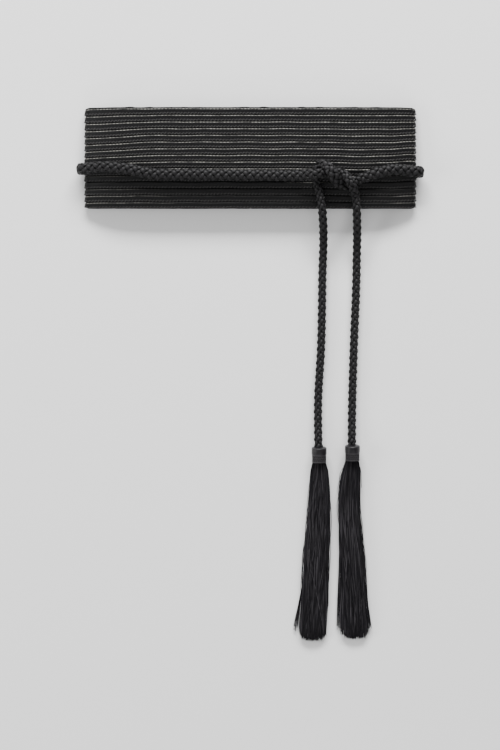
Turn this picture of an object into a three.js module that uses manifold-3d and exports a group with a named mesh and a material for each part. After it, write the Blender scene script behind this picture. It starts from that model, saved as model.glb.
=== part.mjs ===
// A wide waist sash of corded grosgrain, with a braided rope tied round it and a tassel on each rope end.
// Millimetres. The sash lies flat: X runs along its width, Y up its height and Z off what it lies on.
import * as THREE from "three";
import { mergeVertices } from "three/addons/utils/BufferGeometryUtils.js";
import Module from "manifold-3d";

// Sash
const SASH_WIDTH = 346; // from fold to fold, over the cords
const CORD_ROWS = 15;
const CORD_PITCH = 7; // from one corded row to the next
const CORD_RELIEF = 1.5; // how far a row stands out of the cloth
const CLOTH_THICK = 1.3;
const FOLD_REACH = 2; // inside radius of the side folds
const FOLD_GAP = 3; // between front and back at the folds
const MIDDLE_GAP = 13; // between front and back at the middle
const RIDGE_RISE = 7.5; // the front bows up this much over the rope behind
const SLOPE_REACH = 17; // how far the back takes to come down beside the rope
const SEAM_GAP = 0.6; // between the sash's two ends at the centre back
const LEFT_DIP = 3; // the rows sink by up to this much towards the left fold
const DIP_HEIGHT = 12; // the row at this height sinks most, and the upper edge not at all
const DIP_END = -22; // nor do the rows below this height
const RIGHT_RISE = 1.6; // the rows rise this much at the right fold
const CORNER_PULL = 1.2; // the corners are rounded in by this much

// Hook tape behind the sash's two ends
const TAPE_WIDTH = 24;
const TAPE_THICK = 1.6;
const TAPE_INSET = 4; // from the sash's upper and lower edges

// Rope
const ROPE_WIDTH = 12;
const ROPE_THICK = 7.2; // flattened where it lies round the sash
const KNOT_WIDTH = 9.2; // the strands are pulled narrower in the knot
const KNOT_THICK = 6.6;
const TAIL_WIDTH = 8.7; // the free ends are rounder
const TAIL_THICK = 8.3;
const BACK_ROPE_LEFT = -11.5; // height of the rope behind the sash, at each fold
const BACK_ROPE_RIGHT = -14.6;

// Tassels
const COLLAR_WIDTH = 14.6;
const COLLAR_LENGTH = 7.8;
const BINDING_WIDTH = 14;
const BINDING_LENGTH = 7.4;
const SKIRT_LENGTH = 185;
const SKIRT_WIDTH = 28;
const SKIRT_THICK = 13;

const CLEAR = 0.3; // between pieces that touch
const ROPE_LIE = 0.5; // the rope lies this far over the sash's crests
const ROPE_SLACK = 0.6; // and stands off the folds this much more
const ROPE_JOINT = 0.9; // between the ends of two stretches of rope

const sashHeight = CORD_ROWS * CORD_PITCH;
const sashTop = sashHeight / 2;
const wall = CLOTH_THICK + CORD_RELIEF;
const foldStart = SASH_WIDTH / 2 - wall - FOLD_REACH;
const backLift = ROPE_THICK + CLEAR;
const FLAT = Math.PI / 2;

// One row of the sash, from its lower side up: place in the pitch, and how far it stands out of the cloth
const ROW_PROFILE = [
  { place: 0.01, relief: 0.62 },
  { place: 0.3, relief: 0.8 },
  { place: 0.54, relief: 1 },
  { place: 0.72, relief: 1 },
  { place: 0.87, relief: 0 },
];

// Where the sash has its sections, as shares of the way from the middle to a fold
const FRONT_STATIONS = [-1, -0.94, -0.84, -0.7, -0.5, -0.25, 0, 0.3, 0.6, 0.8, 0.92, 1];
const BACK_STATIONS = [0.35, 0.65, 0.85, 0.94, 1];
const FOLD_STEPS = 5;

// The rope's place on the front, from the knot to the left fold and from the right fold to the knot.
// outward is a share of the way from the middle to a fold.
const FRONT_LEFT_ROUTE = [
  { outward: 0.13, y: -19.4 },
  { outward: -0.07, y: -18.8 },
  { outward: -0.35, y: -18.3 },
  { outward: -0.58, y: -17.9 },
  { outward: -0.67, y: -15.8 },
  { outward: -0.75, y: -12.8 },
  { outward: -0.84, y: -10.8 },
  { outward: -0.91, y: -9.9 },
  { outward: -0.963, y: -10.5 },
];
const FRONT_RIGHT_ROUTE = [
  { outward: 0.97, y: -13.9 },
  { outward: 0.922, y: -13.2 },
  { outward: 0.87, y: -13.4 },
  { outward: 0.815, y: -15.3 },
];
const BACK_ROUTE = [-0.97, -0.6, 0, 0.6, 0.97];
const ROPE_FOLD_STEPS = 8;

// The half knot. Places are rope widths from its centre.
// Level 0 lies on the sash and level 1 on the other strand.
const KNOT = { x: 88, y: -19.3 };
const OVER_STRAND = [
  { across: -3.3, up: -0.03, level: 0.04 },
  { across: -2.85, up: 0.02, level: 0.16 },
  { across: -2.33, up: 0.06, level: 0.66 },
  { across: -1.86, up: 0.09, level: 1.1 },
  { across: -1.42, up: 0.13, level: 1.08 },
  { across: -0.99, up: 0.15, level: 0.5 },
  { across: -0.56, up: 0.19, level: 0.04 },
  { across: -0.17, up: 0.24, level: 0 },
  { across: 0.25, up: 0.25, level: 0 },
  { across: 0.64, up: 0.16, level: 0.2 },
  { across: 0.95, up: -0.07, level: 0.75 },
  { across: 1.18, up: -0.42, level: 1.12 },
  { across: 1.38, up: -0.75, level: 1.16 },
  { across: 1.6, up: -1.22, level: 0.84 },
  { across: 1.76, up: -1.82, level: 0.2 },
  { across: 1.84, up: -2.3, level: 0.08 },
];
const LOOP_STRAND = [
  { across: 3.4, up: 0.16, level: 0.06 },
  { across: 2.75, up: -0.1, level: 0 },
  { across: 2.2, up: -0.28, level: 0 },
  { across: 1.74, up: -0.47, level: 0 },
  { across: 1.27, up: -0.68, level: 0 },
  { across: 0.87, up: -0.79, level: 0.04 },
  { across: 0.56, up: -0.77, level: 0.22 },
  { across: 0.26, up: -0.53, level: 0.66 },
  { across: -0.05, up: -0.12, level: 1.06 },
  { across: -0.35, up: 0.32, level: 1.16 },
  { across: -0.62, up: 0.69, level: 1.08 },
  { across: -0.93, up: 0.94, level: 0.78 },
  { across: -1.29, up: 0.98, level: 0.34 },
  { across: -1.58, up: 0.73, level: 0.02 },
  { across: -1.72, up: 0.26, level: 0 },
  { across: -1.68, up: -0.26, level: 0 },
  { across: -1.55, up: -0.78, level: 0 },
  { across: -1.38, up: -1.38, level: 0 },
  { across: -1.19, up: -2.3, level: 0.08 },
];

// The rope's two free ends, from the knot over the sash's lower edge and along the floor to the tassel
const LEFT_TAIL = [
  [73.8, -48, 25],
  [74.6, -54, 24],
  [75.3, -62, 21.8],
  [75.9, -72, 18.2],
  [76.2, -82, 13],
  [76.2, -93, 8.3],
  [75.8, -106, 5.2],
  [75.3, -122, 4.4],
  [75.1, -140, 4.4],
  [74.8, -160, 4.4],
  [74.4, -182, 4.4],
  [73.6, -204, 4.4],
  [72.2, -226, 4.4],
  [71, -248, 4.4],
  [70.7, -270, 4.7],
  [70.8, -282, 5.6],
  [71, -293, 7],
  [71.2, -302.6, 7.3],
];
const RIGHT_TAIL = [
  [110.2, -48, 24.8],
  [110.5, -54, 23.8],
  [110.8, -62, 21.6],
  [111.1, -72, 18.2],
  [111.3, -82, 13],
  [111.3, -93, 8.3],
  [111.1, -106, 5.2],
  [110.9, -122, 4.4],
  [110.4, -140, 4.4],
  [109.6, -160, 4.4],
  [108.7, -182, 4.4],
  [107.9, -204, 4.4],
  [107.2, -226, 4.4],
  [106.6, -248, 4.4],
  [106.2, -268, 4.7],
  [106.1, -280, 5.6],
  [106, -291, 7],
  [105.9, -300.6, 7.3],
];
const TAIL_STEPS = 12;

// A tassel's skirt down its length: half its width, its thickness, and how far its middle wanders
const LEFT_SKIRT = [
  { along: 0, spread: 0.5, depth: 0.92, wander: 0 },
  { along: 0.06, spread: 0.62, depth: 1, wander: 0 },
  { along: 0.18, spread: 0.74, depth: 1, wander: 0.02 },
  { along: 0.32, spread: 0.8, depth: 0.96, wander: -0.02 },
  { along: 0.46, spread: 0.88, depth: 0.9, wander: -0.1 },
  { along: 0.6, spread: 0.95, depth: 0.86, wander: -0.16 },
  { along: 0.76, spread: 0.98, depth: 0.8, wander: -0.2 },
  { along: 0.9, spread: 1, depth: 0.7, wander: -0.26 },
  { along: 1, spread: 0.94, depth: 0.5, wander: -0.28 },
];
const RIGHT_SKIRT = [
  { along: 0, spread: 0.5, depth: 0.92, wander: 0 },
  { along: 0.06, spread: 0.66, depth: 1, wander: -0.04 },
  { along: 0.18, spread: 0.76, depth: 1, wander: -0.12 },
  { along: 0.32, spread: 0.74, depth: 0.96, wander: -0.1 },
  { along: 0.46, spread: 0.82, depth: 0.9, wander: -0.04 },
  { along: 0.6, spread: 0.88, depth: 0.86, wander: 0.03 },
  { along: 0.76, spread: 0.94, depth: 0.8, wander: 0.02 },
  { along: 0.9, spread: 0.98, depth: 0.7, wander: 0.03 },
  { along: 1, spread: 0.9, depth: 0.5, wander: 0.04 },
];
// Its locks from left to right: how far down each one ends, and how far its tip swings aside
const LEFT_LOCKS = [
  { end: 0.95, swing: -0.12 },
  { end: 0.99, swing: -0.02 },
  { end: 0.965, swing: 0.02 },
  { end: 1, swing: 0 },
  { end: 0.975, swing: 0.02 },
  { end: 0.99, swing: -0.01 },
  { end: 0.93, swing: 0.03 },
];
const RIGHT_LOCKS = [
  { end: 0.94, swing: -0.03 },
  { end: 0.985, swing: 0 },
  { end: 1, swing: 0.02 },
  { end: 0.97, swing: -0.02 },
  { end: 0.995, swing: 0.01 },
  { end: 0.965, swing: 0.02 },
  { end: 0.94, swing: 0.05 },
];
const LOCK_OVERLAP = 1.35; // how wide a lock is, against its share of the skirt
const LOCK_SIDES = 8;

const wasm = await Module();
wasm.setup();

const clamp = THREE.MathUtils.clamp;
const smooth = (share) => THREE.MathUtils.smoothstep(share, 0, 1);

// The height of the rope's run behind the sash
function backRopeAt(x) {
  return THREE.MathUtils.lerp(BACK_ROPE_LEFT, BACK_ROPE_RIGHT, x / SASH_WIDTH + 0.5);
}

// The inside of the sash's back, which lies on the floor and climbs over the rope behind it
function backInside(x, y) {
  const beside = Math.abs(y - backRopeAt(x)) - ROPE_WIDTH / 2;
  return wall + backLift * (1 - smooth(beside / SLOPE_REACH));
}

// The inside of the sash's front, highest over the rope and lower towards both edges
function frontInside(x, y) {
  const outward = clamp(Math.abs(x) / foldStart, 0, 1);
  const gap = THREE.MathUtils.lerp(MIDDLE_GAP, FOLD_GAP, outward ** 8);
  const ridge = backRopeAt(x);
  const toEdge = y > ridge ? sashTop - ridge : sashTop + ridge;
  const down = Math.min(Math.abs(y - ridge) / toEdge, 1.02);
  const rounding = 0.06;
  return wall + gap + RIDGE_RISE * (1 + rounding - Math.hypot(down, rounding));
}

function frontCrest(x, y) {
  return frontInside(x, y) + wall;
}

// How far a row is shifted up or down at x
function rowDrift(x, y) {
  const end = y > DIP_HEIGHT ? sashTop : DIP_END;
  const sunk = Math.max(0, 1 - ((y - DIP_HEIGHT) / (end - DIP_HEIGHT)) ** 2);
  const left = smooth((-x / foldStart - 0.54) / 0.46);
  const right = smooth((x / foldStart - 0.86) / 0.14);
  const inner = 1 - (y / sashTop) ** 2;
  return RIGHT_RISE * right * inner - LEFT_DIP * left * sunk;
}

// A point of the sash. turn is 90 degrees on the front, 0 outermost on a fold and -90 on the back.
function sashPoint({ side, x, turn }, height, depth) {
  const outward = Math.cos(turn);
  const corner = CORNER_PULL * outward * (height / sashTop) ** 9;
  const y = height + rowDrift(x, height) - corner;
  const front = frontInside(x, y);
  const back = backInside(x, y);
  const halfGap = (front - back) / 2;
  const normal = new THREE.Vector3((side * outward) / FOLD_REACH, 0, Math.sin(turn) / halfGap).normalize();
  const inside = new THREE.Vector3(
    x + side * FOLD_REACH * outward,
    y,
    (front + back) / 2 + halfGap * Math.sin(turn),
  );
  return inside.addScaledVector(normal, depth);
}

// The sash's stations, from its left end at the centre back round the left fold, front and right fold
function sashStations() {
  const backHalf = (side) =>
    [SEAM_GAP / 2, ...BACK_STATIONS.map((share) => share * foldStart)].map((x) => ({
      side,
      x: side * x,
      turn: -FLAT,
    }));
  const fold = (side) =>
    Array.from({ length: FOLD_STEPS }, (_, step) => ({
      side,
      x: side * foldStart,
      turn: FLAT * ((2 * (step + 1)) / (FOLD_STEPS + 1) - 1),
    }));
  const front = FRONT_STATIONS.map((share) => ({ side: 1, x: share * foldStart, turn: FLAT }));
  return [...backHalf(-1), ...fold(-1), ...front, ...fold(1).reverse(), ...backHalf(1).reverse()];
}

// The section of the cloth strip: out over the corded rows, and back along its plain inside
function sashSection() {
  const section = [{ height: -sashTop, depth: CLOTH_THICK }];
  for (let row = 0; row < CORD_ROWS; row++)
    for (const { place, relief } of ROW_PROFILE)
      section.push({
        height: -sashTop + (row + place) * CORD_PITCH,
        depth: CLOTH_THICK + relief * CORD_RELIEF,
      });
  section.pop(); // above the last row there is no crease, and it rolls over to the upper edge
  section.push({ height: sashTop, depth: CLOTH_THICK });
  for (let row = CORD_ROWS; row >= 0; row--)
    section.push({ height: -sashTop + row * CORD_PITCH, depth: 0 });
  return section;
}

// A closed body through rings that have the same number of points
function loft(rings) {
  const count = rings[0].length;
  const positions = rings.flat().flatMap((point) => point.toArray());
  const faces = [];
  for (let ring = 0; ring + 1 < rings.length; ring++)
    for (let i = 0; i < count; i++) {
      const a = ring * count + i;
      const b = ring * count + ((i + 1) % count);
      faces.push(a, a + count, b, b, a + count, b + count);
    }
  const lastRing = (rings.length - 1) * count;
  for (const [a, b, c] of capFaces(rings[0])) faces.push(a, b, c);
  for (const [a, b, c] of capFaces(rings.at(-1))) faces.push(lastRing + a, lastRing + c, lastRing + b);
  const geometry = new THREE.BufferGeometry();
  geometry.setAttribute("position", new THREE.Float32BufferAttribute(positions, 3));
  geometry.setIndex(faces);
  geometry.computeVertexNormals();
  return geometry;
}

// The triangles that close a flat ring, turned the way the ring goes round
function capFaces(ring) {
  const middle = new THREE.Vector3();
  for (const point of ring) middle.addScaledVector(point, 1 / ring.length);
  const normal = new THREE.Vector3();
  ring.forEach((point, i) => {
    const next = ring[(i + 1) % ring.length];
    normal.add(point.clone().sub(middle).cross(next.clone().sub(middle)));
  });
  const upright = new THREE.Quaternion().setFromUnitVectors(normal.normalize(), new THREE.Vector3(0, 0, 1));
  const flat = ring.map((point) => point.clone().sub(middle).applyQuaternion(upright));
  return THREE.ShapeUtils.triangulateShape(flat.map(({ x, y }) => new THREE.Vector2(x, y)), []);
}

function sashGeometry() {
  const section = sashSection();
  return loft(sashStations().map((station) => section.map((p) => sashPoint(station, p.height, p.depth))));
}

// The tape follows the inside of the sash's back from edge to edge
function tapeGeometry() {
  const reach = sashTop - TAPE_INSET;
  const rings = Array.from({ length: CORD_ROWS + 1 }, (_, row) => {
    const y = clamp(sashTop - row * CORD_PITCH, -reach, reach);
    const low = (x) => backInside(x, y) + CLEAR;
    const left = -TAPE_WIDTH / 2;
    const right = TAPE_WIDTH / 2;
    return [
      new THREE.Vector3(left, y, low(left) + TAPE_THICK),
      new THREE.Vector3(right, y, low(right) + TAPE_THICK),
      new THREE.Vector3(right, y, low(right)),
      new THREE.Vector3(left, y, low(left)),
    ];
  });
  return loft(rings);
}

// A rope's line. Its section keeps its flat side to what it lies on, and away gives the direction off that.
class RopeLine extends THREE.CatmullRomCurve3 {
  constructor(points, away) {
    super(points, false, "centripetal");
    this.away = away;
  }
  getPointAt(share, target) {
    return this.getPoint(share, target);
  }
  getTangentAt(share, target) {
    return this.getTangent(share, target);
  }
  computeFrenetFrames(steps) {
    const frames = { tangents: [], normals: [], binormals: [] };
    for (let step = 0; step <= steps; step++) {
      const tangent = this.getTangent(step / steps);
      const off = this.away(this.getPoint(step / steps));
      const normal = off.addScaledVector(tangent, -off.dot(tangent)).normalize();
      frames.tangents.push(tangent);
      frames.normals.push(normal);
      frames.binormals.push(new THREE.Vector3().crossVectors(tangent, normal));
    }
    return frames;
  }
}

const upward = () => new THREE.Vector3(0, 0, 1);

// Off the sash: up on the front, out at the folds and down on the back
function offTheSash(point) {
  const x = clamp(point.x, -foldStart, foldStart);
  const ridge = backRopeAt(x);
  const middle = (frontInside(x, ridge) + backInside(x, ridge)) / 2;
  return point.clone().sub(new THREE.Vector3(x, point.y, middle)).normalize();
}

function ropeGeometry(line, width, thick, sides, steps) {
  const section = new THREE.Shape(
    Array.from({ length: sides }, (_, side) => {
      const angle = ((side + 0.5) / sides) * 2 * Math.PI;
      const flatTo = Math.cos(Math.PI / sides);
      return new THREE.Vector2((Math.cos(angle) / flatTo) * (thick / 2), Math.sin(angle) * (width / 2));
    }),
  );
  return new THREE.ExtrudeGeometry(section, { steps, extrudePath: line, bevelEnabled: false });
}

// A rope point that lies on the sash's front, or above another strand
function onFront(x, y, thick, level = 0) {
  return new THREE.Vector3(x, y, frontCrest(x, y) + ROPE_LIE + thick / 2 + level * (thick + CLEAR));
}

// The rope's half turn round a fold, from the front to the back
function ropeRoundFold(side) {
  const x = side * foldStart;
  const y = backRopeAt(x);
  const out = FOLD_REACH + wall + CLEAR + ROPE_SLACK + ROPE_THICK / 2;
  const top = frontCrest(x, y) + ROPE_LIE + ROPE_THICK / 2;
  const bottom = ROPE_THICK / 2;
  return Array.from({ length: ROPE_FOLD_STEPS + 1 }, (_, step) => {
    const turn = FLAT * (1 - (2 * step) / ROPE_FOLD_STEPS);
    return new THREE.Vector3(
      x + side * out * Math.cos(turn),
      y,
      (top + bottom) / 2 + ((top - bottom) / 2) * Math.sin(turn),
    );
  });
}

function wrapGeometry() {
  const back = BACK_ROUTE.map((share) => {
    const x = share * foldStart;
    return new THREE.Vector3(x, backRopeAt(x), ROPE_THICK / 2);
  });
  const fromKnot = ({ across, up }, side) =>
    onFront(KNOT.x + across * ROPE_WIDTH + side * ROPE_JOINT, KNOT.y + up * ROPE_WIDTH, ROPE_THICK);
  const points = [
    fromKnot(OVER_STRAND[0], -1),
    ...FRONT_LEFT_ROUTE.map(({ outward, y }) => onFront(outward * foldStart, y, ROPE_THICK)),
    ...ropeRoundFold(-1),
    ...back,
    ...ropeRoundFold(1).reverse(),
    ...FRONT_RIGHT_ROUTE.map(({ outward, y }) => onFront(outward * foldStart, y, ROPE_THICK)),
    fromKnot(LOOP_STRAND[0], 1),
  ];
  return ropeGeometry(new RopeLine(points, offTheSash), ROPE_WIDTH, ROPE_THICK, 12, points.length - 1);
}

function knotGeometry(strand) {
  const points = strand.map(({ across, up, level }) =>
    onFront(KNOT.x + across * ROPE_WIDTH, KNOT.y + up * ROPE_WIDTH, KNOT_THICK, level),
  );
  return ropeGeometry(new RopeLine(points, upward), KNOT_WIDTH, KNOT_THICK, 10, points.length - 1);
}

function tailGeometry(route) {
  const line = new RopeLine(route.map((point) => new THREE.Vector3(...point)), upward);
  return ropeGeometry(line, TAIL_WIDTH, TAIL_THICK, 10, TAIL_STEPS);
}

// A wound ring of the tassel's head, turned about the rope's line
function windingGeometry(profile, width, length) {
  const outline = profile.map(({ out, along }) => new THREE.Vector2((out * width) / 2, along * length));
  return new THREE.LatheGeometry(outline, 16).rotateX(Math.PI);
}
const COLLAR_PROFILE = [
  { out: 0, along: 1 },
  { out: 0.92, along: 1 },
  { out: 0.94, along: 0.5 },
  { out: 1, along: 0.34 },
  { out: 1, along: 0.14 },
  { out: 0.9, along: 0 },
  { out: 0, along: 0 },
].reverse();
const BINDING_PROFILE = [
  { out: 0, along: 0 },
  { out: 0.96, along: 0 },
  { out: 1, along: 0.14 },
  { out: 1, along: 0.86 },
  { out: 0.95, along: 1 },
  { out: 0, along: 1 },
];

// The value of a skirt's column at a share of its length
function skirtAt(skirt, along, column) {
  const next = Math.max(1, skirt.findIndex((row) => row.along >= along));
  const [a, b] = [skirt[next - 1], skirt[next]];
  return THREE.MathUtils.mapLinear(along, a.along, b.along, a[column], b[column]);
}

// One lock of threads: a flat tapering strip that lies on the floor beside its neighbours
function lockGeometry(skirt, lock, place, count) {
  const beside = ((place + 0.5) / count) * 2 - 1;
  const thinner = Math.sqrt(1 - (beside * 0.86) ** 2);
  const stations = [0, 0.07, 0.2, 0.36, 0.52, 0.68, 0.82, 0.93, 0.985, 1];
  const rings = stations.map((station) => {
    const along = station * lock.end;
    const half = (skirtAt(skirt, along, "spread") * SKIRT_WIDTH) / 2;
    const thick = skirtAt(skirt, along, "depth") * SKIRT_THICK * thinner;
    const tip = station > 0.9 ? Math.sqrt(1 - ((station - 0.9) / 0.102) ** 2) : 1;
    const swing = lock.swing * smooth((station - 0.7) / 0.3);
    const splitting = 1 - 0.3 * smooth((station - 0.82) / 0.15);
    const drift = (skirtAt(skirt, along, "wander") / 2 + swing) * SKIRT_WIDTH;
    const middle = drift + beside * half;
    const wide = (half / count) * LOCK_OVERLAP * splitting * tip;
    const high = (thick / 2) * Math.max(tip, 0.3);
    return Array.from({ length: LOCK_SIDES }, (_, side) => {
      const angle = ((side + 0.5) / LOCK_SIDES) * 2 * Math.PI;
      const round = Math.cos(Math.PI / LOCK_SIDES);
      return new THREE.Vector3(
        middle + (Math.cos(angle) / round) * wide,
        -along * SKIRT_LENGTH,
        high + (Math.sin(angle) / round) * high,
      );
    });
  });
  return loft(rings.map((ring) => ring.reverse()));
}

function asSolid(geometry) {
  const bare = geometry.clone();
  bare.deleteAttribute("normal");
  bare.deleteAttribute("uv");
  const merged = mergeVertices(bare, 1e-4);
  const vertProperties = merged.attributes.position.array;
  const triVerts = new Uint32Array(merged.index.array);
  return new wasm.Manifold(new wasm.Mesh({ numProp: 3, vertProperties, triVerts }));
}

function fused(geometries) {
  const mesh = geometries.map(asSolid).reduce((whole, piece) => whole.add(piece)).getMesh();
  const geometry = new THREE.BufferGeometry();
  geometry.setAttribute("position", new THREE.Float32BufferAttribute(mesh.vertProperties, 3));
  geometry.setIndex(Array.from(mesh.triVerts));
  geometry.computeVertexNormals();
  return geometry;
}

function skirtGeometry(skirt, locks) {
  return fused(locks.map((lock, place) => lockGeometry(skirt, lock, place, locks.length)));
}

const part = new THREE.Group();

function add(name, geometry, material, place = new THREE.Vector3()) {
  const mesh = new THREE.Mesh(geometry, material);
  mesh.name = name;
  mesh.position.copy(place);
  part.add(mesh);
}

const finish = (color, roughness) => new THREE.MeshStandardMaterial({ color, roughness, metalness: 0 });

add("sash", sashGeometry(), finish(0x1d1c1e, 0.7));
add("back_fastening", tapeGeometry(), finish(0x232225, 0.8));
add("rope_wrap", wrapGeometry(), finish(0x2a292c, 0.45));
add("rope_knot_over", knotGeometry(OVER_STRAND), finish(0x2a292c, 0.45));
add("rope_knot_loop", knotGeometry(LOOP_STRAND), finish(0x2a292c, 0.45));

const TASSELS = [
  { side: "left", tail: LEFT_TAIL, skirt: LEFT_SKIRT, locks: LEFT_LOCKS },
  { side: "right", tail: RIGHT_TAIL, skirt: RIGHT_SKIRT, locks: RIGHT_LOCKS },
];
for (const { side, tail, skirt, locks } of TASSELS) {
  add("rope_tail_" + side, tailGeometry(tail), finish(0x2a292c, 0.45));
  const [x, y] = tail.at(-1);
  const collarTop = y - CLEAR;
  const bindingTop = collarTop - COLLAR_LENGTH - CLEAR;
  const skirtTop = bindingTop - BINDING_LENGTH - CLEAR;
  const collar = windingGeometry(COLLAR_PROFILE, COLLAR_WIDTH, COLLAR_LENGTH);
  const binding = windingGeometry(BINDING_PROFILE, BINDING_WIDTH, BINDING_LENGTH);
  const threads = skirtGeometry(skirt, locks);
  const at = (top, width) => new THREE.Vector3(x, top, width / 2);
  add("tassel_collar_" + side, collar, finish(0x2b2a2d, 0.5), at(collarTop, COLLAR_WIDTH));
  add("tassel_binding_" + side, binding, finish(0x262528, 0.6), at(bindingTop, BINDING_WIDTH));
  add("tassel_skirt_" + side, threads, finish(0x29282b, 0.5), at(skirtTop, 0));
}

export default part;
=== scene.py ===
# A wide waist sash of corded grosgrain, tied round with a braided rope that ends in two tassels.
# It lies flat on a pale floor, seen from straight above. Metres: X along the sash, Y up its height, Z up.
import math

import bpy
import numpy as np
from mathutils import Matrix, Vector


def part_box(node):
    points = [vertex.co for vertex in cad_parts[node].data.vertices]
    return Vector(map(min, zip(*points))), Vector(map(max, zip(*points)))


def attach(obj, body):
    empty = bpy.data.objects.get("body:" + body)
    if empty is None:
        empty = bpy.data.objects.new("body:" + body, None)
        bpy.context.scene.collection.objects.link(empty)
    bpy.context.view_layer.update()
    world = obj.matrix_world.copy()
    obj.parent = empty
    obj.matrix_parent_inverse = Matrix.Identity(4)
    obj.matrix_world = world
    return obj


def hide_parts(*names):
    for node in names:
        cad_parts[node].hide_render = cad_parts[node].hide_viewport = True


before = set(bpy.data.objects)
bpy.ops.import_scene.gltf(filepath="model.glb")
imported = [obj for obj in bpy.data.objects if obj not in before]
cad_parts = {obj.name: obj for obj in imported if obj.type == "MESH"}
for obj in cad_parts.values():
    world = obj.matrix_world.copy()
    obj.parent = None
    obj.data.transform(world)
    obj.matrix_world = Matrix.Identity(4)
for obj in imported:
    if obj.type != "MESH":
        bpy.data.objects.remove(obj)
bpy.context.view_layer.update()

# Camera
# The picture is taken from straight above the middle of the laid-out sash and tassels, from far enough
# that the sash's sides show no depth. View height is what the picture's upright side covers.
MM = 0.001
CAMERA_HEIGHT = 3.2
VIEW_MIDDLE = (-0.3 * MM, -226.2 * MM)
VIEW_HEIGHT = 780 * MM
LEVEL_SEEN = 18 * MM
SENSOR = 36.0

bpy.ops.object.select_all(action="DESELECT")
bpy.ops.object.camera_add(location=(*VIEW_MIDDLE, CAMERA_HEIGHT), rotation=(0, 0, 0))
camera = bpy.context.object
camera.name = "overhead_camera"
camera.data.sensor_fit = "VERTICAL"
camera.data.sensor_height = SENSOR
camera.data.lens = SENSOR * (CAMERA_HEIGHT - LEVEL_SEEN) / VIEW_HEIGHT
camera.data.clip_end = 20
bpy.context.scene.camera = camera

# The rope's route
# One length of rope goes from the right tassel up to the knot, round the back of the sash and down to
# the left tassel. It rests on the sash, so its height follows the sash's front and back.
SASH_WIDTH = 346 * MM
CORD_ROWS = 15
CORD_PITCH = 7 * MM
SASH_TOP = CORD_ROWS * CORD_PITCH / 2
WALL = 2.8 * MM
FOLD_REACH = 2 * MM
FOLD_GAP = 3 * MM
MIDDLE_GAP = 13 * MM
RIDGE_RISE = 7.5 * MM
SLOPE_REACH = 17 * MM
FOLD_START = SASH_WIDTH / 2 - WALL - FOLD_REACH
ROPE_WIDTH = 12 * MM
ROPE_THICK = 7.2 * MM
KNOT_THICK = 7.2 * MM
KNOT_LEVEL = 6.9 * MM
TAIL_WIDTH = 9.2 * MM
TAIL_THICK = 8.3 * MM
CLEAR = 0.3 * MM
BACK_LIFT = ROPE_THICK + CLEAR
ROPE_LIE = 0.5 * MM
ROPE_SLACK = 1.5 * MM
BACK_ROPE_LEFT = -11.5 * MM
BACK_ROPE_RIGHT = -14.6 * MM
KNOT_X = 88 * MM
KNOT_Y = -19.3 * MM
KNOT_CORE = 3.3 * MM
INTO_HEAD = 9 * MM
# The front keeps its distance from the back up to near the folds, and its ridge is slightly rounded
FOLD_SQUARENESS = 8
RIDGE_ROUNDING = 0.06
PAST_EDGE = 1.02

# The free ends from the knot to the tassels, in metres
LEFT_TAIL = [
    (0.0738, -0.048, 0.025),
    (0.0746, -0.054, 0.024),
    (0.0753, -0.062, 0.0218),
    (0.0759, -0.072, 0.0182),
    (0.0762, -0.082, 0.013),
    (0.0762, -0.093, 0.0083),
    (0.0758, -0.106, 0.0052),
    (0.0753, -0.122, 0.0044),
    (0.0751, -0.14, 0.0044),
    (0.0748, -0.16, 0.0044),
    (0.0744, -0.182, 0.0044),
    (0.0736, -0.204, 0.0044),
    (0.0722, -0.226, 0.0044),
    (0.071, -0.248, 0.0044),
    (0.0707, -0.27, 0.0047),
    (0.0708, -0.282, 0.0056),
    (0.071, -0.293, 0.007),
    (0.0712, -0.3026, 0.0073),
]
RIGHT_TAIL = [
    (0.1102, -0.048, 0.0248),
    (0.1105, -0.054, 0.0238),
    (0.1108, -0.062, 0.0216),
    (0.1111, -0.072, 0.0182),
    (0.1113, -0.082, 0.013),
    (0.1113, -0.093, 0.0083),
    (0.1111, -0.106, 0.0052),
    (0.1109, -0.122, 0.0044),
    (0.1104, -0.14, 0.0044),
    (0.1096, -0.16, 0.0044),
    (0.1087, -0.182, 0.0044),
    (0.1079, -0.204, 0.0044),
    (0.1072, -0.226, 0.0044),
    (0.1066, -0.248, 0.0044),
    (0.1062, -0.268, 0.0047),
    (0.1061, -0.28, 0.0056),
    (0.106, -0.291, 0.007),
    (0.1059, -0.3006, 0.0073),
]
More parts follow.
